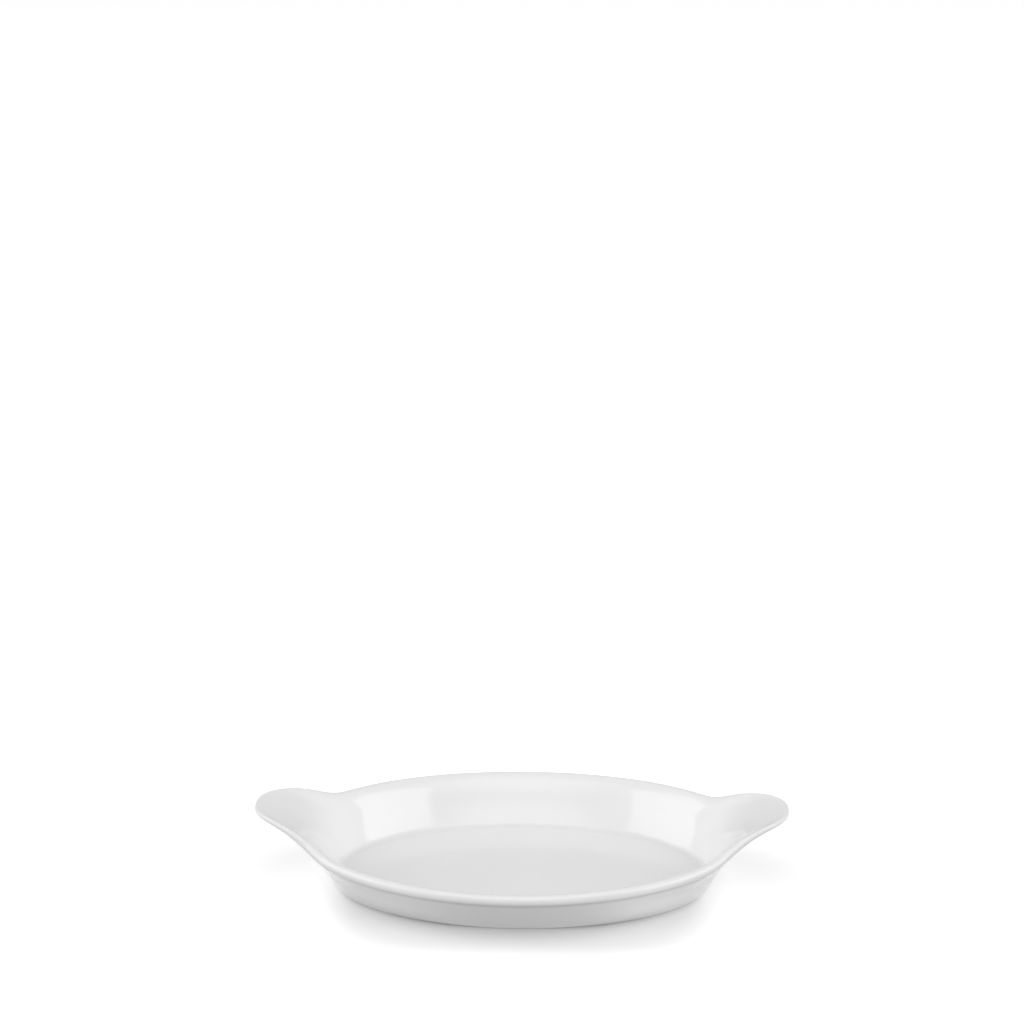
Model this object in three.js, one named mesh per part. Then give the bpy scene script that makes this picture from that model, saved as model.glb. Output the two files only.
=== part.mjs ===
// Oval eared dish: a shallow glazed porcelain dish with a beaded rim, two upswept ears and a bare foot ring.
// Millimetres, +Z up. The origin lies on the table under the middle of the dish; +X runs from ear to ear.
import * as THREE from 'three';

// Overall sizes
const LENGTH_OVER_EARS = 232;
const RIM_OVAL_LENGTH = 198;
const RIM_WIDTH = 126;
const WALL_OVAL_LENGTH = 192;
const BASE_LENGTH = 164;
const BASE_WIDTH = 90;
const SIDE_HEIGHT = 24.5;
const EAR_HEIGHT = 37;

// Wall, floor and foot ring
const WALL_THICKNESS = 3.6;
const FLOOR_THICKNESS = 4.5;
const FLOOR_FILLET = 4.5;
const BASE_EDGE_RADIUS = 0.8;
const FOOT_HEIGHT = 1;
const FOOT_WIDTH = 5;
const FOOT_INSET = 2.5;
const FOOT_CHAMFER = 0.3;

// Rim bead: how far it stands proud of the outer wall, how deep the rim pieces reach below its top,
// and how much the rim rises from mid side to the ends of the oval before the ears lift it further
const BEAD_OVERHANG = 1.1;
const RIM_DEPTH = 15;
const END_SWEEP = 2.5;

// Ears: reach and lift both fade away from the long axis as bells, half gone at these distances from it
const REACH_HALF_WIDTH = 19.5;
const REACH_SHAPE = 3.3;
const LIFT_HALF_WIDTH = 25;
const LIFT_SHAPE = 5;
const EAR_THICKNESS = 2.1;
const EAR_OVERHANG = 0.1;
const EAR_TIP_SLOPE = THREE.MathUtils.degToRad(12);
const EAR_HANDLE = 0.42;

// Facets: stations round the oval, stations from the long axis to the side of each ear piece, curve steps
const STATIONS = 96;
const EAR_STATIONS = 11;
const INNER_STEPS = 6;
const UNDER_STEPS = 5;
const BEAD_INNER_STEPS = 2;
const BEAD_QUARTER_STEPS = 3;
const FILLET_STEPS = 4;
const BASE_EDGE_STEPS = 3;

const earReach = (LENGTH_OVER_EARS - RIM_OVAL_LENGTH) / 2;
const earLift = EAR_HEIGHT - SIDE_HEIGHT - END_SWEEP;
const floorTop = FOOT_HEIGHT + FLOOR_THICKNESS;
const beadRadius = (WALL_THICKNESS + BEAD_OVERHANG) / 2;
const earEdgeRadius = (EAR_THICKNESS + EAR_OVERHANG) / 2;

function bell(offset, halfWidth, shape) {
  return Math.pow(0.5, Math.pow(Math.abs(offset) / halfWidth, shape));
}

// A point in a vertical plane: out from a plan position along a plan direction, and up
function place(plan, direction, out, up) {
  return new THREE.Vector3(plan.x + direction.x * out, plan.y + direction.y * out, up);
}

// A sloping direction in a vertical plane
function slope(direction, angle) {
  return place(new THREE.Vector2(), direction, Math.cos(angle), Math.sin(angle));
}

// Key points and directions of the dish's section at one station round the oval
function sectionAt(station) {
  const angle = (2 * Math.PI * station) / STATIONS;
  const cos = Math.cos(angle);
  const sin = Math.sin(angle);
  const base = new THREE.Vector2((BASE_LENGTH / 2) * cos, (BASE_WIDTH / 2) * sin);
  const oval = new THREE.Vector2((RIM_OVAL_LENGTH / 2) * cos, (RIM_WIDTH / 2) * sin);
  const wallOval = new THREE.Vector2((WALL_OVAL_LENGTH / 2) * cos, oval.y);
  const lifted = bell(oval.y, LIFT_HALF_WIDTH, LIFT_SHAPE);
  const reached = bell(oval.y, REACH_HALF_WIDTH, REACH_SHAPE);
  const edge = new THREE.Vector2(oval.x + Math.sign(cos) * earReach * reached, oval.y);
  const ovalTop = SIDE_HEIGHT + END_SWEEP * cos * cos;
  const edgeTop = ovalTop + earLift * lifted;

  // The outer wall is the straight line from the base corner that passes the wall's side of a bead
  // on the wall's own oval, which is a little shorter than the rim's
  const run = base.distanceTo(wallOval);
  const wallOut = wallOval.clone().sub(base).normalize();
  const beadOut = run - beadRadius;
  const beadUp = ovalTop - beadRadius - FOOT_HEIGHT;
  const beadSide = WALL_THICKNESS - beadRadius;
  const wallAngle = Math.atan2(beadUp, beadOut) - Math.asin(beadSide / Math.hypot(beadOut, beadUp));
  const wallSlope = slope(wallOut, wallAngle);
  const intoWall = slope(wallOut, wallAngle + Math.PI / 2);

  // Corner points of the wall: outer top, inner top, and both ends of the fillet above the floor
  const outerTopUp = ovalTop - RIM_DEPTH;
  const outerTop = place(base, wallOut, (outerTopUp - FOOT_HEIGHT) / Math.tan(wallAngle), outerTopUp);
  const innerTop = outerTop.clone().addScaledVector(intoWall, WALL_THICKNESS);
  const fromInnerTop = (floorTop - innerTop.z) / Math.sin(wallAngle);
  const corner = innerTop.clone().addScaledVector(wallSlope, fromInnerTop);
  const filletLength = FLOOR_FILLET * Math.tan(wallAngle / 2);
  const floorEdge = corner.clone().addScaledVector(slope(wallOut, 0), -filletLength);

  // The rim edge: its bead runs round the oval and thins towards the tips of the ears
  const edgeOut = edge.clone().sub(new THREE.Vector2(outerTop.x, outerTop.y)).normalize();
  const edgeRadius = THREE.MathUtils.lerp(beadRadius, earEdgeRadius, lifted);
  const edgeThickness = THREE.MathUtils.lerp(WALL_THICKNESS, EAR_THICKNESS, lifted);
  const edgeAngle = THREE.MathUtils.lerp(wallAngle, EAR_TIP_SLOPE, reached);
  const undercut = Math.acos((edgeThickness - edgeRadius) / edgeRadius);
  const beadCentre = place(edge, edgeOut, -edgeRadius, edgeTop - edgeRadius);
  return {
    base, wallOut, wallAngle, wallSlope, outerTop, innerTop, floorEdge, filletLength,
    beadCentre, edgeRadius, edgeOut, edgeAngle, undercut,
  };
}

// The floor fillet, from the flat floor up to the straight inner wall
function filletPoints(section) {
  const points = [];
  const centre = section.floorEdge.clone();
  centre.z += FLOOR_FILLET;
  for (let i = 0; i <= FILLET_STEPS; i += 1) {
    const turn = (section.wallAngle * i) / FILLET_STEPS - Math.PI / 2;
    points.push(centre.clone().addScaledVector(slope(section.wallOut, turn), FLOOR_FILLET));
  }
  return points;
}

// The rounded lower edge, from the straight outer wall down to the flat underside
function baseEdgePoints(section) {
  const points = [];
  const back = -BASE_EDGE_RADIUS * Math.tan(section.wallAngle / 2);
  const centre = place(section.base, section.wallOut, back, FOOT_HEIGHT + BASE_EDGE_RADIUS);
  for (let i = BASE_EDGE_STEPS; i >= 0; i -= 1) {
    const turn = (section.wallAngle * i) / BASE_EDGE_STEPS - Math.PI / 2;
    points.push(centre.clone().addScaledVector(slope(section.wallOut, turn), BASE_EDGE_RADIUS));
  }
  return points;
}

// The round of the bead, from its inner side over the top to the groove under its outer side
function beadPoints(section) {
  const start = Math.PI / 2 + section.edgeAngle;
  const end = section.edgeAngle - Math.PI / 2 - section.undercut;
  const turns = [];
  for (let i = 0; i < BEAD_INNER_STEPS; i += 1) {
    turns.push(THREE.MathUtils.lerp(start, Math.PI / 2, i / BEAD_INNER_STEPS));
  }
  for (let i = 0; i < BEAD_QUARTER_STEPS; i += 1) {
    turns.push(THREE.MathUtils.lerp(Math.PI / 2, 0, i / BEAD_QUARTER_STEPS));
  }
  for (let i = 0; i <= BEAD_QUARTER_STEPS; i += 1) {
    turns.push(THREE.MathUtils.lerp(0, end, i / BEAD_QUARTER_STEPS));
  }
  return turns.map((turn) => (
    section.beadCentre.clone().addScaledVector(slope(section.edgeOut, turn), section.edgeRadius)
  ));
}

// A curve that leaves the wall along its slope and meets the rim edge along the slope there
function flarePoints(section, from, to, steps) {
  const handle = from.distanceTo(to) * EAR_HANDLE;
  const curve = new THREE.CubicBezierCurve3(
    from,
    from.clone().addScaledVector(section.wallSlope, handle),
    to.clone().addScaledVector(slope(section.edgeOut, section.edgeAngle), -handle),
    to,
  );
  return curve.getPoints(steps);
}

function rimLoop(section) {
  const bead = beadPoints(section);
  const inner = flarePoints(section, section.innerTop, bead[0], INNER_STEPS);
  const under = flarePoints(section, section.outerTop, bead[bead.length - 1], UNDER_STEPS);
  return [...inner, ...bead.slice(1), ...under.reverse().slice(1)];
}

function wallLoop(section) {
  return [...filletPoints(section), section.innerTop, section.outerTop, baseEdgePoints(section)[0]];
}

function footLoop(section) {
  const across = new THREE.Vector2(section.base.x / BASE_LENGTH ** 2, section.base.y / BASE_WIDTH ** 2);
  across.normalize();
  const outer = -FOOT_INSET;
  const inner = -FOOT_INSET - FOOT_WIDTH;
  return [
    place(section.base, across, outer, FOOT_HEIGHT),
    place(section.base, across, outer, FOOT_CHAMFER),
    place(section.base, across, outer - FOOT_CHAMFER, 0),
    place(section.base, across, inner + FOOT_CHAMFER, 0),
    place(section.base, across, inner, FOOT_CHAMFER),
    place(section.base, across, inner, FOOT_HEIGHT),
  ];
}

// Triangles over a closed loop of points: a strip between the two sides that leave its first and last points,
// which takes the shorter way across at each step
function capTriangles(loop, offset) {
  const triangles = [];
  let first = 0;
  let last = loop.length - 1;
  while (last - first > 1) {
    const ahead = loop[first + 1].distanceToSquared(loop[last]);
    const back = loop[first].distanceToSquared(loop[last - 1]);
    const middle = ahead < back ? first + 1 : last - 1;
    triangles.push([first, middle, last].map((corner) => corner + offset));
    if (ahead < back) first = middle;
    else last = middle;
  }
  return triangles;
}

function signedVolume(points, triangles) {
  return triangles.reduce((sum, [a, b, c]) => (
    sum + points[a].dot(new THREE.Vector3().crossVectors(points[b], points[c])) / 6
  ), 0);
}

// A closed body through a row of loops with equal point counts. A ring joins its last loop to its first;
// otherwise both end loops are capped. Each four-sided face is split along its shorter diagonal.
function loft(loops, ring) {
  const points = loops.flat();
  const size = loops[0].length;
  const bands = ring ? loops.length : loops.length - 1;
  const triangles = [];
  for (let band = 0; band < bands; band += 1) {
    for (let i = 0; i < size; i += 1) {
      const a = band * size + i;
      const b = band * size + ((i + 1) % size);
      const c = ((band + 1) % loops.length) * size + ((i + 1) % size);
      const d = ((band + 1) % loops.length) * size + i;
      const cutAtA = points[a].distanceToSquared(points[c]) < points[b].distanceToSquared(points[d]);
      triangles.push(...(cutAtA ? [[a, b, c], [a, c, d]] : [[a, b, d], [b, c, d]]));
    }
  }
  if (!ring) {
    const near = capTriangles(loops[0], 0);
    const far = capTriangles(loops[loops.length - 1], points.length - size);
    triangles.push(...near.map(([a, b, c]) => [a, c, b]), ...far);
  }
  const inward = signedVolume(points, triangles) < 0;
  const index = triangles.flatMap(([a, b, c]) => (inward ? [a, c, b] : [a, b, c]));
  const geometry = new THREE.BufferGeometry().setFromPoints(points);
  geometry.setIndex(index);
  geometry.computeVertexNormals();
  return geometry;
}

const sections = [];
for (let station = 0; station < STATIONS; station += 1) {
  sections.push(sectionAt(station));
}

// The sections from one station to another, going round past the first one where needed
function stretch(from, to) {
  const part = [];
  for (let station = from; station <= to; station += 1) {
    part.push(sections[(station + STATIONS) % STATIONS]);
  }
  return part;
}

// A body through the same loop of each section in a stretch, closed at both ends
function stretchPiece(from, to, loopOf) {
  return loft(stretch(from, to).map(loopOf), false);
}

function floorPlate() {
  const edges = sections.map(baseEdgePoints);
  const loops = [sections.map((section) => section.floorEdge)];
  for (let i = 0; i <= BASE_EDGE_STEPS; i += 1) {
    loops.push(edges.map((edge) => edge[i]));
  }
  return loft(loops, false);
}

const glaze = { color: 0xf3f3f1, roughness: 0.12, metalness: 0 };
const bareBody = { color: 0xe6e1d6, roughness: 0.85, metalness: 0 };
const dish = new THREE.Group();
dish.name = 'oval_eared_dish';

function addPiece(name, geometry, finish) {
  const piece = new THREE.Mesh(geometry, new THREE.MeshStandardMaterial(finish));
  piece.name = name;
  dish.add(piece);
}

addPiece('foot_ring', loft(sections.map(footLoop), true), bareBody);
addPiece('well_floor', floorPlate(), glaze);

// The lower wall goes round in four stretches, and the rim above it in six: an ear at each end,
// and two lengths of beaded rim that meet at mid side, front and back
const half = STATIONS / 2;
const backMiddle = half / 2;
const frontMiddle = half + backMiddle;
const walls = [
  ['right_wall', -EAR_STATIONS, EAR_STATIONS],
  ['back_wall', EAR_STATIONS, half - EAR_STATIONS],
  ['left_wall', half - EAR_STATIONS, half + EAR_STATIONS],
  ['front_wall', half + EAR_STATIONS, STATIONS - EAR_STATIONS],
];
const rims = [
  ['right_ear', -EAR_STATIONS, EAR_STATIONS],
  ['back_right_rim', EAR_STATIONS, backMiddle],
  ['back_left_rim', backMiddle, half - EAR_STATIONS],
  ['left_ear', half - EAR_STATIONS, half + EAR_STATIONS],
  ['front_left_rim', half + EAR_STATIONS, frontMiddle],
  ['front_right_rim', frontMiddle, STATIONS - EAR_STATIONS],
];
for (const [name, from, to] of walls) {
  addPiece(name, stretchPiece(from, to, wallLoop), glaze);
}
for (const [name, from, to] of rims) {
  addPiece(name, stretchPiece(from, to, rimLoop), glaze);
}

export default dish;
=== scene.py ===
"""Oval eared dish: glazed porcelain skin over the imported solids, a bare foot ring and a white studio table.

Section curves are worked out in millimetres, one section per station round the oval, and placed in metres.
"""
from math import cos, pi, radians, sin

import bmesh
import bpy
import numpy as np
from mathutils import Matrix, Vector


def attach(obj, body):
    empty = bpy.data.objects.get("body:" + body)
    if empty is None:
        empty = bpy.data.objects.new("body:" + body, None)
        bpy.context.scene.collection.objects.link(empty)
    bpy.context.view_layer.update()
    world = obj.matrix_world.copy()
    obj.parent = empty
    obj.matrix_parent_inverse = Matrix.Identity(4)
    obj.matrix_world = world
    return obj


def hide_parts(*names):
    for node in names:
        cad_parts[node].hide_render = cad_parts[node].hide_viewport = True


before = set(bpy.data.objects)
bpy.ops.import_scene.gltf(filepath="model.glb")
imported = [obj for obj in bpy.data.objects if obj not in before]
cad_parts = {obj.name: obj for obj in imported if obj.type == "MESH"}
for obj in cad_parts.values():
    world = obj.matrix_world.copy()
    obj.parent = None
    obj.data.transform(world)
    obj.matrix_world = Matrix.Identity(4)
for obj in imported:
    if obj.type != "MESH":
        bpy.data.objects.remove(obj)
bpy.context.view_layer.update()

MM = 0.001

# Overall sizes, mm
LENGTH_OVER_EARS = 232
RIM_OVAL_LENGTH = 198
RIM_WIDTH = 126
WALL_OVAL_LENGTH = 192
BASE_LENGTH = 164
BASE_WIDTH = 90
SIDE_HEIGHT = 24.5
EAR_HEIGHT = 37

# Wall, floor and foot ring, mm
WALL_THICKNESS = 3.6
FLOOR_THICKNESS = 4.5
FLOOR_FILLET = 4.5
BASE_EDGE_RADIUS = 0.8
FOOT_HEIGHT = 1
FOOT_WIDTH = 5
FOOT_INSET = 2.5
FOOT_EDGE_RADIUS = 0.35

# Rim bead, mm: its hollow underneath, and the turn by which the wall opens out inside before the bead begins
BEAD_OVERHANG = 1.1
GROOVE_RADIUS = 0.35
LIP_RADIUS = 12
LIP_TURN = radians(20)
RIM_DEPTH = 15
END_SWEEP = 2.5

# Inner wall: how far it departs from a straight line, mm, and the share of it that eases in at each end
WALL_SWELL = 0.14
SWELL_EASE = 0.12

# Ears, mm. Reach and lift fade away from the long axis as bells, half gone at these distances.
REACH_HALF_WIDTH = 19.5
REACH_SHAPE = 3.3
LIFT_HALF_WIDTH = 25
LIFT_SHAPE = 5
EAR_THICKNESS = 2.1
EAR_OVERHANG = 0.1
EAR_TIP_SLOPE = radians(12)
EAR_HANDLE = 0.42

# Mesh steps: stations round the oval, stations from the long axis to an ear piece's side, points per curve
STATIONS = 288
EAR_STATIONS = 33
FLOOR_RINGS = 10
FILLET_STEPS = 12
WALL_STEPS = 8
FLARE_STEPS = 14
LIP_STEPS = 8
BEAD_STEPS = 30
GROOVE_STEPS = 6
BASE_EDGE_STEPS = 8
FOOT_EDGE_STEPS = 4
FLARE_CROWDING = 1.8  # above 1, points lie closer together towards the rim
KEY_DIGITS = 5  # points that agree to this many digits are one vertex

ear_reach = (LENGTH_OVER_EARS - RIM_OVAL_LENGTH) / 2
ear_lift = EAR_HEIGHT - SIDE_HEIGHT - END_SWEEP
floor_top = FOOT_HEIGHT + FLOOR_THICKNESS
bead_radius = (WALL_THICKNESS + BEAD_OVERHANG) / 2
ear_edge_radius = (EAR_THICKNESS + EAR_OVERHANG) / 2


def bell(offset, half_width, shape):
    return 0.5 ** (np.abs(offset / half_width) ** shape)


def blend(a, b, share):
    return a + (b - a) * share


def unit(v):
    return v / np.linalg.norm(v, axis=-1, keepdims=True)


def place(plan, direction, out, up):
    """Points in vertical planes: out from plan positions along plan directions, and up."""
    flat = plan + direction * np.asarray(out)[..., None]
    return np.column_stack([flat, np.broadcast_to(up, len(flat))])


def slope(direction, angle):
    """Sloping directions in the same vertical planes."""
    return place(np.zeros_like(direction), direction, np.cos(angle) * np.ones(len(direction)), np.sin(angle))


def arc(centre, direction, radius, start, end, steps):
    """Points on arcs in vertical planes, one row per step."""
    radius = np.broadcast_to(radius, len(centre))[:, None]
    return [centre + slope(direction, blend(start, end, i / steps)) * radius for i in range(steps + 1)]


def line(a, b, steps):
    return [blend(a, b, i / steps) for i in range(steps + 1)]


def flare(start, start_way, end, end_way, steps):
    """Curves that leave the wall along its slope and meet the rim edge along the slope there."""
    handle = np.linalg.norm(end - start, axis=1, keepdims=True) * EAR_HANDLE
    near, far = start + start_way * handle, end - end_way * handle
    rows = []
    for s in 1 - np.linspace(1, 0, steps + 1)**FLARE_CROWDING:
        rows.append((1 - s)**3 * start + 3 * s * (1 - s)**2 * near + 3 * s * s * (1 - s) * far + s**3 * end)
    return rows


def swell(rows, way, depth):
    """Bends section curves: hollow in their first half, swollen in their second, level at both ends."""
    rows = np.array(rows)
    steps = np.linalg.norm(np.diff(rows, axis=0), axis=2)
    along = np.vstack([np.zeros(steps.shape[1]), np.cumsum(steps, axis=0)])
    share = along / along[-1]
    ends = np.clip(np.minimum(share, 1 - share) / SWELL_EASE, 0, 1)
    ease = ends**2 * (3 - 2 * ends)
    return list(rows - (np.sin(2 * pi * share) * ease * depth)[..., None] * way)


def dish_skin():
    """The glazed skin as rows of points round the oval, from the middle of the floor, up over the rim and
    down to the middle of the underside, with the row numbers where the pieces meet and where the crease
    under the bead lies, and how deep that crease is at each station."""
    angle = np.arange(STATIONS) * 2 * pi / STATIONS
    ring = np.column_stack([np.cos(angle), np.sin(angle)])
    base = ring * [BASE_LENGTH / 2, BASE_WIDTH / 2]
    oval = ring * [RIM_OVAL_LENGTH / 2, RIM_WIDTH / 2]
    wall_oval = ring * [WALL_OVAL_LENGTH / 2, RIM_WIDTH / 2]
    lifted = bell(oval[:, 1], LIFT_HALF_WIDTH, LIFT_SHAPE)
    reached = bell(oval[:, 1], REACH_HALF_WIDTH, REACH_SHAPE)
    edge = oval + np.column_stack([np.sign(ring[:, 0]) * ear_reach * reached, np.zeros(STATIONS)])
    oval_top = SIDE_HEIGHT + END_SWEEP * ring[:, 0]**2
    edge_top = oval_top + ear_lift * lifted

    # Straight wall, from the base corner past the wall's side of the bead
    wall_out = unit(wall_oval - base)
    bead_out = np.linalg.norm(wall_oval - base, axis=1) - bead_radius
    bead_up = oval_top - bead_radius - FOOT_HEIGHT
    bead_side = WALL_THICKNESS - bead_radius
    wall_angle = np.arctan2(bead_up, bead_out) - np.arcsin(bead_side / np.hypot(bead_out, bead_up))
    wall_way = slope(wall_out, wall_angle)
    outer_up = oval_top - RIM_DEPTH
    outer_top = place(base, wall_out, (outer_up - FOOT_HEIGHT) / np.tan(wall_angle), outer_up)
    inner_top = outer_top + slope(wall_out, wall_angle + pi / 2) * WALL_THICKNESS
    corner = inner_top + wall_way * ((floor_top - inner_top[:, 2]) / np.sin(wall_angle))[:, None]
    fillet_length = FLOOR_FILLET * np.tan(wall_angle / 2)
    floor_edge = corner - slope(wall_out, 0 * angle) * fillet_length[:, None]
    fillet_centre = floor_edge + [0, 0, FLOOR_FILLET]
    edge_back = -BASE_EDGE_RADIUS * np.tan(wall_angle / 2)
    base_centre = place(base, wall_out, edge_back, FOOT_HEIGHT + BASE_EDGE_RADIUS)

    # Bead, thinner towards the ear tips, that opens out of the wall inside and meets it in a crease outside
    edge_out = unit(edge - outer_top[:, :2])
    radius = blend(bead_radius, ear_edge_radius, lifted)
    side = blend(WALL_THICKNESS, EAR_THICKNESS, lifted) - radius
    edge_angle = blend(wall_angle, EAR_TIP_SLOPE, reached)
    edge_way = slope(edge_out, edge_angle)
    bead_centre = place(edge, edge_out, -radius, edge_top - radius)
    undercut = np.arccos((side + GROOVE_RADIUS) / (radius + GROOVE_RADIUS))
    lip_end = edge_angle + pi / 2 - LIP_TURN
    lip_radius = blend(LIP_RADIUS, radius, lifted)
    lip_centre = bead_centre - slope(edge_out, lip_end) * (lip_radius - radius)[:, None]
    lip = arc(lip_centre, edge_out, lip_radius, edge_angle + pi / 2, lip_end, LIP_STEPS)
    bead = arc(bead_centre, edge_out, radius, lip_end, edge_angle - pi / 2 - undercut, BEAD_STEPS)
    groove_way = slope(edge_out, edge_angle - pi / 2 - undercut)
    groove_centre = bead_centre + groove_way * (radius + GROOVE_RADIUS)[:, None]
    groove_start = edge_angle + pi / 2 - undercut
    groove = arc(groove_centre, edge_out, GROOVE_RADIUS, groove_start, edge_angle + pi / 2, GROOVE_STEPS)

    fillet = arc(fillet_centre, wall_out, FLOOR_FILLET, 0 * angle - pi / 2, wall_angle - pi / 2, FILLET_STEPS)
    under = flare(outer_top, wall_way, groove[-1], edge_way, FLARE_STEPS)[::-1]
    base_edge = arc(base_centre, wall_out, BASE_EDGE_RADIUS,
                    wall_angle - pi / 2, 0 * angle - pi / 2, BASE_EDGE_STEPS)
    rows = line(floor_edge * [0, 0, 1], floor_edge, FLOOR_RINGS)
    seams = {"floor_edge": FLOOR_RINGS}
    inner = fillet + line(fillet[-1], inner_top, WALL_STEPS)[1:]
    seams["inner_top"] = FLOOR_RINGS + len(inner) - 1
    inner += flare(inner_top, wall_way, lip[0], edge_way, FLARE_STEPS)[1:] + lip[1:]
    rows += swell(inner, slope(wall_out, wall_angle + pi / 2), WALL_SWELL * (1 - lifted))[1:]
    rows += bead[1:] + groove[1:]
    seams["crease"] = len(rows) - 1
    rows += under[1:]
    seams["outer_top"] = len(rows) - 1
    rows += line(outer_top, base_edge[0], WALL_STEPS)[1:]
    seams["base_edge"] = len(rows) - 1
    rows += base_edge[1:]
    rows += line(base_edge[-1], base_edge[-1] * [0, 0, 1], FLOOR_RINGS)[1:]
    return np.array(rows), seams, 1 - lifted


def foot_rows():
    """The bare ring under the floor: rows of points round the oval that go round its section."""
    angle = np.arange(STATIONS) * 2 * pi / STATIONS
    ring = np.column_stack([np.cos(angle), np.sin(angle)])
    base = ring * [BASE_LENGTH / 2, BASE_WIDTH / 2]
    across = unit(ring / [BASE_LENGTH, BASE_WIDTH])
    inner = -FOOT_INSET - FOOT_WIDTH + FOOT_EDGE_RADIUS
    outer = -FOOT_INSET - FOOT_EDGE_RADIUS
    low_inner = place(base, across, np.full(STATIONS, inner), FOOT_EDGE_RADIUS)
    low_outer = place(base, across, np.full(STATIONS, outer), FOOT_EDGE_RADIUS)
    top_outer = place(base, across, np.full(STATIONS, -FOOT_INSET), FOOT_HEIGHT)
    top_inner = place(base, across, np.full(STATIONS, -FOOT_INSET - FOOT_WIDTH), FOOT_HEIGHT)
    quarter = np.full(STATIONS, pi / 2)
    rows = [top_outer]
    rows += arc(low_outer, across, FOOT_EDGE_RADIUS, 0 * quarter, -quarter, FOOT_EDGE_STEPS)
    rows += arc(low_inner, across, FOOT_EDGE_RADIUS, -quarter, -2 * quarter, FOOT_EDGE_STEPS)
    rows.append(top_inner)
    return np.array(rows)


def grid_normals(rows):
    """Smooth normals of a skin whose rows close round the oval."""
    along = np.gradient(rows, axis=0)
    around = np.roll(rows, -1, axis=1) - np.roll(rows, 1, axis=1)
    normals = np.cross(along, around)
    size = np.linalg.norm(normals, axis=-1, keepdims=True)
    normals = normals / np.where(size > 1e-9, size, 1)
    normals[0] = [0, 0, 1]
    normals[-1] = [0, 0, -1]
    return normals


def point_key(point):
    return tuple(np.round(point, KEY_DIGITS))


class Builder:
    """Collects the faces of one closed piece, with smooth normals on its skin and flat ones on its joints."""

    def __init__(self):
        self.mesh = bmesh.new()
        self.points = {}
        self.normals = {}
        self.painted_shades = []

    def vertex(self, point, normal=None):
        key = point_key(point)
        if key not in self.points:
            self.points[key] = self.mesh.verts.new(Vector(point) * MM)
            self.painted_shades.append(painted_shade_at.get(key, 0.0))
        if normal is not None:
            self.normals[self.points[key]] = Vector(normal)
        return self.points[key]

    def face(self, corners, smooth):
        corners = list(dict.fromkeys(corners))
        if len(corners) > 2:
            self.mesh.faces.new(corners).smooth = smooth

    def strip(self, rows, normals=None, closed=True):
        """Four-sided faces between neighbouring rows."""
        made = [[self.vertex(p, None if normals is None else normals[i][j]) for j, p in enumerate(row)]
                for i, row in enumerate(rows)]
        count = len(made[0])
        for low, high in zip(made, made[1:]):
            for j in range(count if closed else count - 1):
                k = (j + 1) % count
                self.face([low[j], low[k], high[k], high[j]], normals is not None)

    def cap(self, loop):
        """A flat end over one closed loop of points."""
        made = self.mesh.faces.new([self.vertex(p) for p in loop])
        made.normal_update()
        bmesh.ops.triangulate(self.mesh, faces=[made])

    def finish(self, name, material):
        bmesh.ops.recalc_face_normals(self.mesh, faces=self.mesh.faces)
        self.mesh.verts.index_update()
        normal_of = {vertex.index: normal for vertex, normal in self.normals.items()}
        data = bpy.data.meshes.new(name)
        self.mesh.to_mesh(data)
        self.mesh.free()
        loops = []
        for polygon in data.polygons:
            for index in polygon.vertices:
                loops.append(normal_of[index] if polygon.use_smooth else polygon.normal)
        data.normals_split_custom_set([tuple(n) for n in loops])
        # the painted shade of the crease under the bead goes to the material in the vertex attribute named
        # crease
        data.attributes.new("crease", "FLOAT", "POINT").data.foreach_set("value", self.painted_shades)
        data.materials.append(material)
        piece = bpy.data.objects.new(name, data)
        bpy.context.collection.objects.link(piece)
        return piece


# Glaze: a nearly even white, with painted shade greying it in the crease under the bead, and a slight
# waviness. Lengths in metres.
GLAZE_TONES = (0.84, 0.855)
GLAZE_ROUGHNESS = (0.07, 0.09)
GLAZE_IOR = 1.52
TONE_SCALE = 28
GLOSS_SCALE = 60
WAVE_SCALE = 70
WAVE_STRENGTH = 0.12
WAVE_HEIGHT = 0.0002
# Painted shade: the grey that the glaze colour turns to in the crease under the bead, and how far from the
# crease it fades
PAINTED_SHADE_GREY = 0.6
PAINTED_SHADE_REACH = 2.4  # mm from the crease
PAINTED_SHADE_LEAST = 0.01  # fainter shade is left out

# Bare porcelain of the foot: warm, matt and finely grained
BARE_TONES = ((0.70, 0.68, 0.64), (0.78, 0.76, 0.72))
BARE_ROUGHNESS = 0.85
BARE_TONE_SCALE = 90
GRAIN_SCALE = 2500
GRAIN_STRENGTH = 0.5
GRAIN_HEIGHT = 0.00008

NOISE_RANGE = (0.3, 0.7)  # where most of a noise texture's values lie


def new_material(name):
    material = bpy.data.materials.new(name)
    material.use_nodes = True
    nodes = material.node_tree.nodes
    return material, nodes, material.node_tree.links, nodes["Principled BSDF"]


def noise(nodes, links, coordinates, scale, detail=2.0):
    texture = nodes.new("ShaderNodeTexNoise")
    texture.inputs["Scale"].default_value = scale
    texture.inputs["Detail"].default_value = detail
    links.new(coordinates.outputs["Object"], texture.inputs["Vector"])
    return texture


def ramp(nodes, links, source, low, high):
    """Maps a noise texture onto the range from one colour to another."""
    node = nodes.new("ShaderNodeValToRGB")
    for stop, position, colour in zip(node.color_ramp.elements, NOISE_RANGE, (low, high)):
        stop.position = position
        stop.color = (*colour, 1)
    links.new(source, node.inputs["Fac"])
    return node.outputs["Color"]


def grey_ramp(nodes, links, source, greys):
    return ramp(nodes, links, source, *((grey,) * 3 for grey in greys))


def add_bump(nodes, links, shader, texture, strength, height):
    bump = nodes.new("ShaderNodeBump")
    bump.inputs["Strength"].default_value = strength
    bump.inputs["Distance"].default_value = height
    links.new(texture.outputs["Fac"], bump.inputs["Height"])
    links.new(bump.outputs["Normal"], shader.inputs["Normal"])


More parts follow.
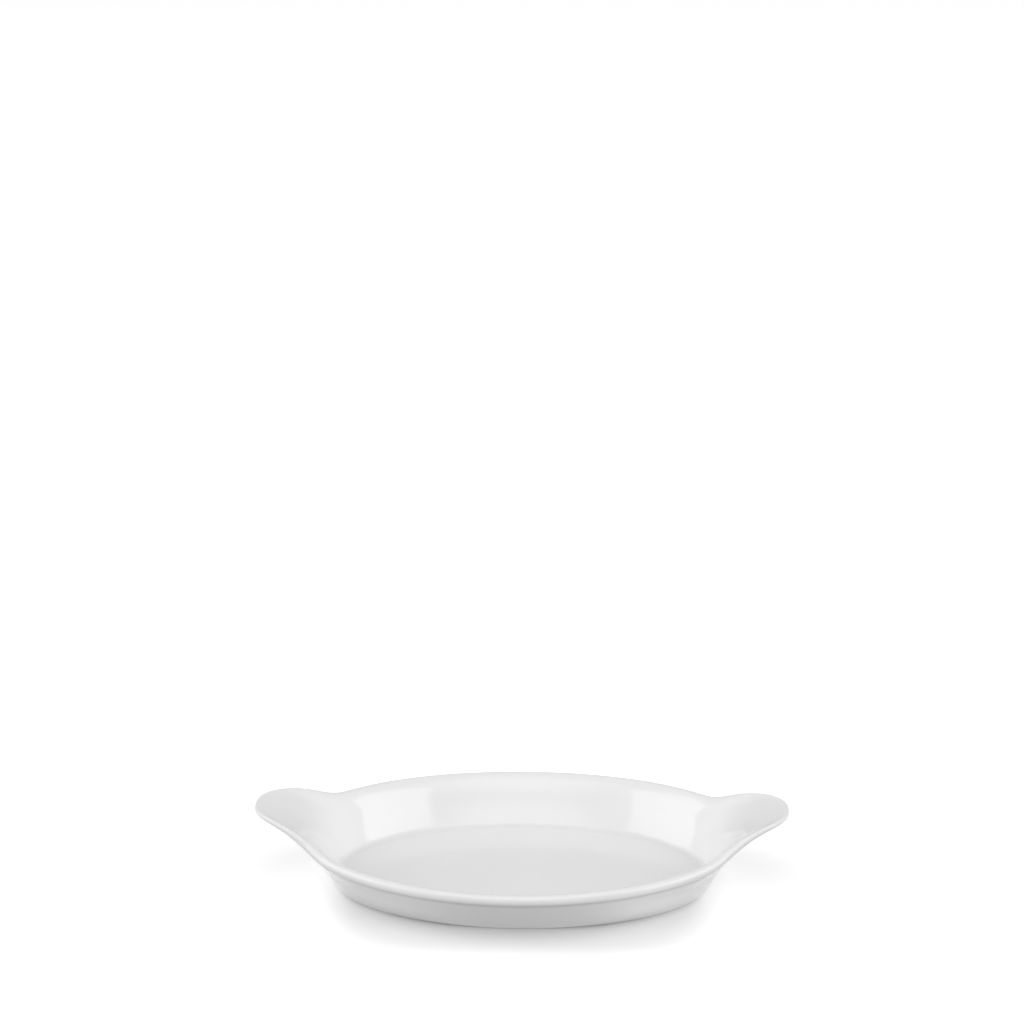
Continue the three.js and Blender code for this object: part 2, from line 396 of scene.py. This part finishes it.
def grey_steps(nodes, links, source, greys):
    """Maps a value from 0 to 1 onto evenly spaced greys."""
    node = nodes.new("ShaderNodeValToRGB")
    stops = node.color_ramp.elements
    while len(stops) < len(greys):
        stops.new(1.0)
    for i, grey in enumerate(greys):
        stops[i].position = i / (len(greys) - 1)
        stops[i].color = (grey, grey, grey, 1)
    links.new(source, node.inputs["Fac"])
    return node.outputs["Color"]


def glaze_material():
    material, nodes, links, shader = new_material("white_glaze")
    where = nodes.new("ShaderNodeTexCoord")
    tone = noise(nodes, links, where, TONE_SCALE)
    # Painted shade: the crease attribute turns the glaze colour grey under the bead
    crease = nodes.new("ShaderNodeAttribute")
    crease.attribute_name = "crease"
    shade = nodes.new("ShaderNodeMix")
    shade.data_type = "RGBA"
    links.new(crease.outputs["Fac"], shade.inputs["Factor"])
    links.new(grey_ramp(nodes, links, tone.outputs["Fac"], GLAZE_TONES), shade.inputs["A"])
    shade.inputs["B"].default_value = (PAINTED_SHADE_GREY,) * 3 + (1,)
    links.new(shade.outputs["Result"], shader.inputs["Base Color"])
    gloss = noise(nodes, links, where, GLOSS_SCALE)
    links.new(grey_ramp(nodes, links, gloss.outputs["Fac"], GLAZE_ROUGHNESS), shader.inputs["Roughness"])
    shader.inputs["IOR"].default_value = GLAZE_IOR
    wave = noise(nodes, links, where, WAVE_SCALE, detail=1.0)
    add_bump(nodes, links, shader, wave, WAVE_STRENGTH, WAVE_HEIGHT)
    return material


def bare_material():
    material, nodes, links, shader = new_material("bare_porcelain")
    where = nodes.new("ShaderNodeTexCoord")
    tone = noise(nodes, links, where, BARE_TONE_SCALE, detail=4.0)
    links.new(ramp(nodes, links, tone.outputs["Fac"], *BARE_TONES), shader.inputs["Base Color"])
    shader.inputs["Roughness"].default_value = BARE_ROUGHNESS
    grain = noise(nodes, links, where, GRAIN_SCALE, detail=3.0)
    add_bump(nodes, links, shader, grain, GRAIN_STRENGTH, GRAIN_HEIGHT)
    return material


glaze = glaze_material()
bare = bare_material()
skin, seams, crease_depth = dish_skin()
skin_normals = grid_normals(skin)
# Painted shade in the crease under the bead: strongest at the crease, fading with distance from it and
# towards the ears
from_crease = np.linalg.norm(skin - skin[seams["crease"]], axis=2)
skin_painted_shade = np.exp(-(from_crease / PAINTED_SHADE_REACH)**2) * crease_depth
painted_shade_at = {point_key(point): shade for point, shade in zip(skin.reshape(-1, 3), skin_painted_shade.ravel())
             if shade > PAINTED_SHADE_LEAST}


def add_piece(builder, node, material, slot):
    piece = builder.finish(node + "_glazed" if slot == "glaze" else node + "_ground", material)
    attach(piece, "root")
    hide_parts(node)


def stations(first, last):
    return [station % STATIONS for station in range(first, last + 1)]


def add_wall_piece(node, first, last):
    """A stretch of the wall between the floor and the rim, closed at both ends."""
    part = stations(first, last)
    inner = list(range(seams["floor_edge"], seams["inner_top"] + 1))
    outer = list(range(seams["outer_top"], seams["base_edge"] + 1))
    builder = Builder()
    for rows in (inner, outer):
        builder.strip(skin[rows][:, part], skin_normals[rows][:, part], closed=False)
    for rows in ([inner[-1], outer[0]], [outer[-1], inner[0]]):
        builder.strip(skin[rows][:, part], closed=False)
    builder.cap(skin[inner + outer, part[0]])
    builder.cap(skin[inner + outer, part[-1]])
    add_piece(builder, node, glaze, "glaze")


def add_rim_piece(node, first, last):
    """A stretch of beaded rim or an ear, from the top of the wall over the bead, closed at both ends."""
    part = stations(first, last)
    rows = slice(seams["inner_top"], seams["outer_top"] + 1)
    builder = Builder()
    builder.strip(skin[rows][:, part], skin_normals[rows][:, part], closed=False)
    builder.strip(skin[[seams["outer_top"], seams["inner_top"]]][:, part], closed=False)
    builder.cap(skin[rows, part[0]])
    builder.cap(skin[rows, part[-1]])
    add_piece(builder, node, glaze, "glaze")


def add_floor():
    builder = Builder()
    top = slice(0, seams["floor_edge"] + 1)
    bottom = slice(seams["base_edge"], len(skin))
    builder.strip(skin[top], skin_normals[top])
    builder.strip(skin[[seams["floor_edge"], seams["base_edge"]]])
    builder.strip(skin[bottom], skin_normals[bottom])
    add_piece(builder, "well_floor", glaze, "glaze")


def add_foot():
    rows = foot_rows()
    normals = grid_normals(rows)
    normals[0] = normals[1]
    normals[-1] = normals[-2]
    builder = Builder()
    builder.strip(rows, normals)
    builder.strip(rows[[-1, 0]])
    add_piece(builder, "foot_ring", bare, "bare_body")


half = STATIONS // 2
back_middle = half // 2
front_middle = half + back_middle
add_foot()
add_floor()
for node, first, last in (
    ("right_wall", -EAR_STATIONS, EAR_STATIONS),
    ("back_wall", EAR_STATIONS, half - EAR_STATIONS),
    ("left_wall", half - EAR_STATIONS, half + EAR_STATIONS),
    ("front_wall", half + EAR_STATIONS, STATIONS - EAR_STATIONS),
):
    add_wall_piece(node, first, last)
for node, first, last in (
    ("right_ear", -EAR_STATIONS, EAR_STATIONS),
    ("back_right_rim", EAR_STATIONS, back_middle),
    ("back_left_rim", back_middle, half - EAR_STATIONS),
    ("left_ear", half - EAR_STATIONS, half + EAR_STATIONS),
    ("front_left_rim", half + EAR_STATIONS, front_middle),
    ("front_right_rim", front_middle, STATIONS - EAR_STATIONS),
):
    add_rim_piece(node, first, last)

# Table: matt white where it is seen, with a glow outside the dish's shadow that keeps the background white.
# The light that it sends up to the dish is a glow of its own, not lit by the lamps, set apart from that:
# greys along the dish, and dimmer under it as painted shade of the dish.
TABLE_SIZE = 16.0
TABLE_WHITE = 0.9
TABLE_UPWARD_GLOW = (0.37, 0.8, 0.55, 0.52, 0.55, 1.0, 0.3)  # from the dish's left end to its right end
# painted shade: the upward glow is dimmed to this share under the dish
TABLE_UNDER = 0.5
UNDER_START = 0.85  # shares of the base oval, squared, between which the light under the dish rises
UNDER_END = 0.95
SHADOW_LENGTH = 172  # mm, as is the width
SHADOW_WIDTH = 144
GLOW_START = 0.6  # shares of the shadow's oval, squared
GLOW_END = 1.15
GLOW_FAR = 0.36
SEEN_RAYS = ("Is Camera Ray", "Is Glossy Ray", "Is Transmission Ray")


def table_material():
    material, nodes, links, shader = new_material("white_table")
    nodes.remove(shader)
    matt = nodes.new("ShaderNodeBsdfDiffuse")
    matt.inputs["Color"].default_value = (TABLE_WHITE,) * 3 + (1,)
    where = nodes.new("ShaderNodeTexCoord")

    def oval_fade(length, width, start, end, low, high):
        """A value that goes from low to high with distance from the dish, along squared-off ovals."""
        squeeze = nodes.new("ShaderNodeVectorMath")
        squeeze.operation = "MULTIPLY"
        squeeze.inputs[1].default_value = (2 / (length * MM), 2 / (width * MM), 0)
        links.new(where.outputs["Object"], squeeze.inputs[0])
        square = nodes.new("ShaderNodeVectorMath")
        square.operation = "MULTIPLY"
        links.new(squeeze.outputs["Vector"], square.inputs[0])
        links.new(squeeze.outputs["Vector"], square.inputs[1])
        distance = nodes.new("ShaderNodeVectorMath")
        distance.operation = "LENGTH"
        links.new(square.outputs["Vector"], distance.inputs[0])
        fade = nodes.new("ShaderNodeMapRange")
        fade.interpolation_type = "SMOOTHSTEP"
        for socket, value in (("From Min", start), ("From Max", end), ("To Min", low), ("To Max", high)):
            fade.inputs[socket].default_value = value
        links.new(distance.outputs["Value"], fade.inputs["Value"])
        return fade.outputs["Result"]

    glow = nodes.new("ShaderNodeEmission")
    around_shadow = oval_fade(SHADOW_LENGTH, SHADOW_WIDTH, GLOW_START, GLOW_END, 0, GLOW_FAR)
    links.new(around_shadow, glow.inputs["Strength"])
    lit = nodes.new("ShaderNodeAddShader")
    links.new(matt.outputs["BSDF"], lit.inputs[0])
    links.new(glow.outputs["Emission"], lit.inputs[1])
    light_path = nodes.new("ShaderNodeLightPath")
    seen = light_path.outputs[SEEN_RAYS[0]]
    for ray in SEEN_RAYS[1:]:
        either = nodes.new("ShaderNodeMath")
        either.operation = "MAXIMUM"
        links.new(seen, either.inputs[0])
        links.new(light_path.outputs[ray], either.inputs[1])
        seen = either.outputs["Value"]
    # Glow sent up to the dish in place of light off the table: greys along the dish, with painted shade under
    # it
    upward_glow = nodes.new("ShaderNodeEmission")
    around_base = oval_fade(BASE_LENGTH, BASE_WIDTH, UNDER_START, UNDER_END, TABLE_UNDER, 1)
    links.new(around_base, upward_glow.inputs["Strength"])
    axes = nodes.new("ShaderNodeSeparateXYZ")
    links.new(where.outputs["Object"], axes.inputs["Vector"])
    across = nodes.new("ShaderNodeMapRange")
    across.inputs["From Min"].default_value = -RIM_OVAL_LENGTH / 2 * MM
    across.inputs["From Max"].default_value = RIM_OVAL_LENGTH / 2 * MM
    links.new(axes.outputs["X"], across.inputs["Value"])
    links.new(grey_steps(nodes, links, across.outputs["Result"], TABLE_UPWARD_GLOW), upward_glow.inputs["Color"])
    both = nodes.new("ShaderNodeMixShader")
    links.new(seen, both.inputs["Fac"])
    links.new(upward_glow.outputs["Emission"], both.inputs[1])
    links.new(lit.outputs["Shader"], both.inputs[2])
    links.new(both.outputs["Shader"], nodes["Material Output"].inputs["Surface"])
    material.cycles.emission_sampling = "NONE"
    return material


table_mesh = bpy.data.meshes.new("table")
reach = TABLE_SIZE / 2
table_mesh.from_pydata([(-reach, -reach, 0), (reach, -reach, 0), (reach, reach, 0), (-reach, reach, 0)],
                       [], [(0, 1, 2, 3)])
table_mesh.materials.append(table_material())
table = bpy.data.objects.new("table", table_mesh)
bpy.context.collection.objects.link(table)

# Studio light: brightness 1 is white. The room has an even fill and soft pools of light, alike on both sides.
ROOM_FILL = 0.1
POOLS = (
    # azimuth, elevation, reach from the middle to the edge, brightness
    (0, 62, 30, 1.6),  # panel high above the viewer
    (85, 20, 60, 1.1),  # walls at both sides
    (180, 0, 60, 0.35),  # wall behind the dish
)
LAMPS = (
    # name, azimuth, elevation, distance, width, height, brightness
    ("right_softbox", 61.4, 31, 1.5, 0.96, 1.15, 1.92),
    ("left_softbox", -74.6, 31, 1.5, 1.09, 1.15, 1.72),
)


def towards(azimuth, elevation):
    """A direction from the dish; azimuth turns from the viewer's side towards +X, both in degrees."""
    flat = cos(radians(elevation))
    return Vector((sin(radians(azimuth)) * flat, -cos(radians(azimuth)) * flat, sin(radians(elevation))))


def studio_world():
    world = bpy.data.worlds.new("studio")
    world.use_nodes = True
    nodes, links = world.node_tree.nodes, world.node_tree.links
    where = nodes.new("ShaderNodeTexCoord")
    axes = nodes.new("ShaderNodeSeparateXYZ")
    links.new(where.outputs["Generated"], axes.inputs["Vector"])
    either_side = nodes.new("ShaderNodeMath")
    either_side.operation = "ABSOLUTE"
    links.new(axes.outputs["X"], either_side.inputs[0])
    folded = nodes.new("ShaderNodeCombineXYZ")
    links.new(either_side.outputs["Value"], folded.inputs["X"])
    links.new(axes.outputs["Y"], folded.inputs["Y"])
    links.new(axes.outputs["Z"], folded.inputs["Z"])
    level = nodes.new("ShaderNodeValue").outputs["Value"]
    level.default_value = ROOM_FILL
    for azimuth, elevation, reach, brightness in POOLS:
        nearness = nodes.new("ShaderNodeVectorMath")
        nearness.operation = "DOT_PRODUCT"
        links.new(folded.outputs["Vector"], nearness.inputs[0])
        nearness.inputs[1].default_value = towards(azimuth, elevation)
        pool = nodes.new("ShaderNodeMapRange")
        pool.interpolation_type = "SMOOTHSTEP"
        pool.inputs["From Min"].default_value = cos(radians(reach))
        pool.inputs["To Max"].default_value = brightness
        links.new(nearness.outputs["Value"], pool.inputs["Value"])
        total = nodes.new("ShaderNodeMath")
        links.new(level, total.inputs[0])
        links.new(pool.outputs["Result"], total.inputs[1])
        level = total.outputs["Value"]
    nodes["Background"].inputs["Color"].default_value = (1, 1, 1, 1)
    links.new(level, nodes["Background"].inputs["Strength"])
    bpy.context.scene.world = world


def add_lamp(name, azimuth, elevation, distance, width, height, brightness):
    """A flat lamp that faces the dish."""
    data = bpy.data.lights.new(name, "AREA")
    data.shape = "RECTANGLE"
    data.size, data.size_y = width, height
    data.energy = brightness * pi * width * height
    lamp = bpy.data.objects.new(name, data)
    bpy.context.collection.objects.link(lamp)
    away = towards(azimuth, elevation)
    lamp.location = away * distance
    lamp.rotation_euler = away.to_track_quat("Z", "Y").to_euler()


studio_world()
for lamp in LAMPS:
    add_lamp(*lamp)

# Camera, set from edges traced in the photograph: mm and radians, and mm per pixel at the dish
VIEW_DISTANCE = 1300
VIEW_PITCH = 0.34924
VIEW_TURN = -0.0472
VIEW_ROLL = -0.00918
VIEW_SCALE = 0.43836
VIEW_OFFSET = (2.79089, -162.10952)  # the dish's place in the picture, right and up from its middle
IMAGE_SIZE = 1024  # pixels
SENSOR_WIDTH = 36.0
CLIP_END = 50  # metres

camera_data = bpy.data.cameras.new("camera")
camera_data.sensor_width = SENSOR_WIDTH
camera_data.lens = SENSOR_WIDTH * VIEW_DISTANCE / VIEW_SCALE / IMAGE_SIZE
camera = bpy.data.objects.new("camera", camera_data)
bpy.context.collection.objects.link(camera)
turn = Matrix.Rotation(-VIEW_TURN, 3, "Z")
right = turn @ Vector((1, 0, 0))
ahead = turn @ Vector((0, cos(VIEW_PITCH), -sin(VIEW_PITCH)))
up = turn @ Vector((0, sin(VIEW_PITCH), cos(VIEW_PITCH)))
eye = (-ahead * VIEW_DISTANCE - right * VIEW_OFFSET[0] - up * VIEW_OFFSET[1]) * MM
rolled_right = right * cos(VIEW_ROLL) + up * sin(VIEW_ROLL)
rolled_up = up * cos(VIEW_ROLL) - right * sin(VIEW_ROLL)
pose = Matrix((rolled_right, rolled_up, -ahead)).transposed().to_4x4()
pose.translation = eye
camera.matrix_world = pose
camera_data.clip_end = CLIP_END
bpy.context.scene.camera = camera
bpy.context.scene.view_settings.view_transform = "Standard"
